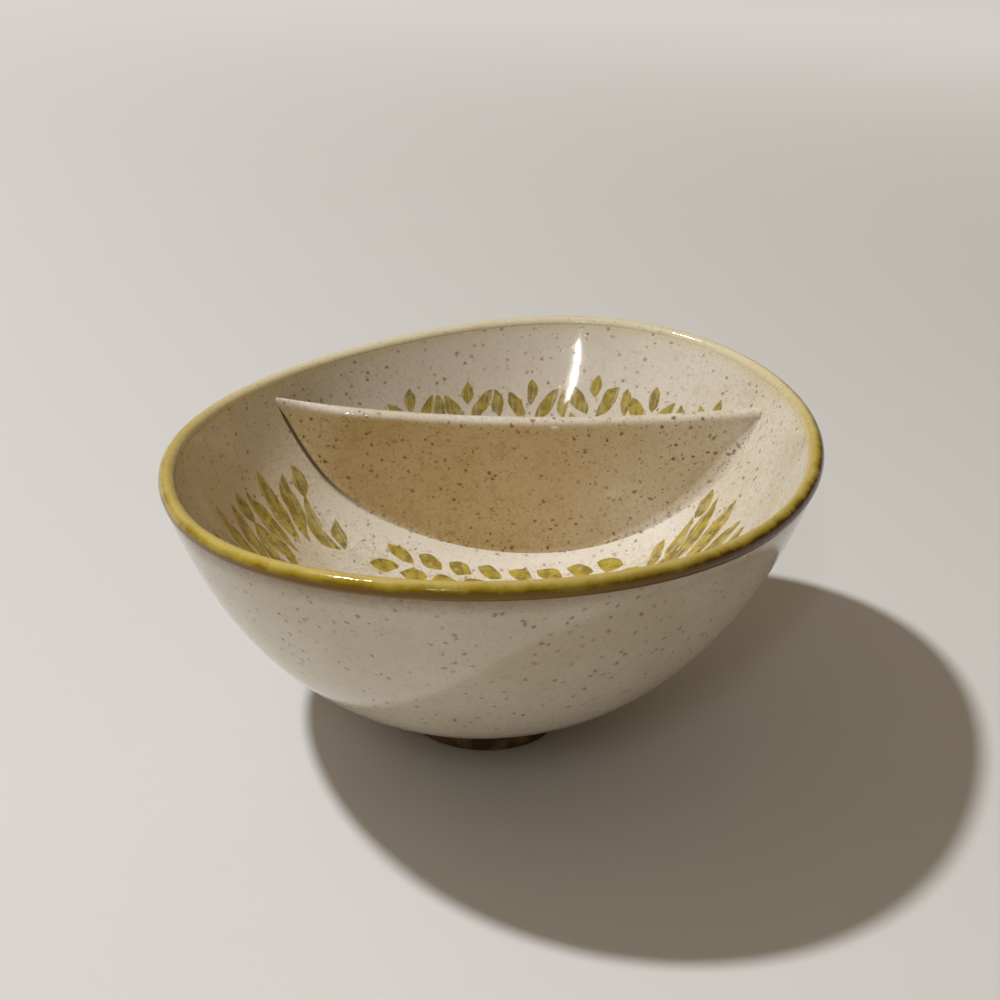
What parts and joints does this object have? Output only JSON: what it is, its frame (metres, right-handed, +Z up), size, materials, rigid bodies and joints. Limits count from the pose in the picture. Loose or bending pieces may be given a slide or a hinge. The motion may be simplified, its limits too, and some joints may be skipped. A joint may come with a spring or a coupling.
{
  "type": "divided serving bowl",
  "caption": "Hand-built stoneware serving bowl of soft three-cornered oval plan, with a wavy lip, a small foot ring and a low wall dividing off a smaller rear compartment.",
  "frame": {"origin": "centre of the foot ring's underside, on the surface the bowl stands on", "axes": "+X along the dividing wall to the right as seen from the large compartment, +Y from the large compartment to the small one, +Z up"},
  "size_m": [0.1883, 0.2144, 0.0943],
  "materials": {
    "cream_glaze": "glossy speckled glaze",
    "olive_glaze": "glossy olive glaze",
    "bare_clay": "matt unglazed clay"
  },
  "bodies": {
    "root": {"bowl_shell": "cream_glaze", "divider_wall": "cream_glaze", "divider_seam_front": "cream_glaze", "divider_seam_rear": "cream_glaze", "rim_band": "olive_glaze", "foot_ring": "bare_clay"}
  },
  "joints": []
}
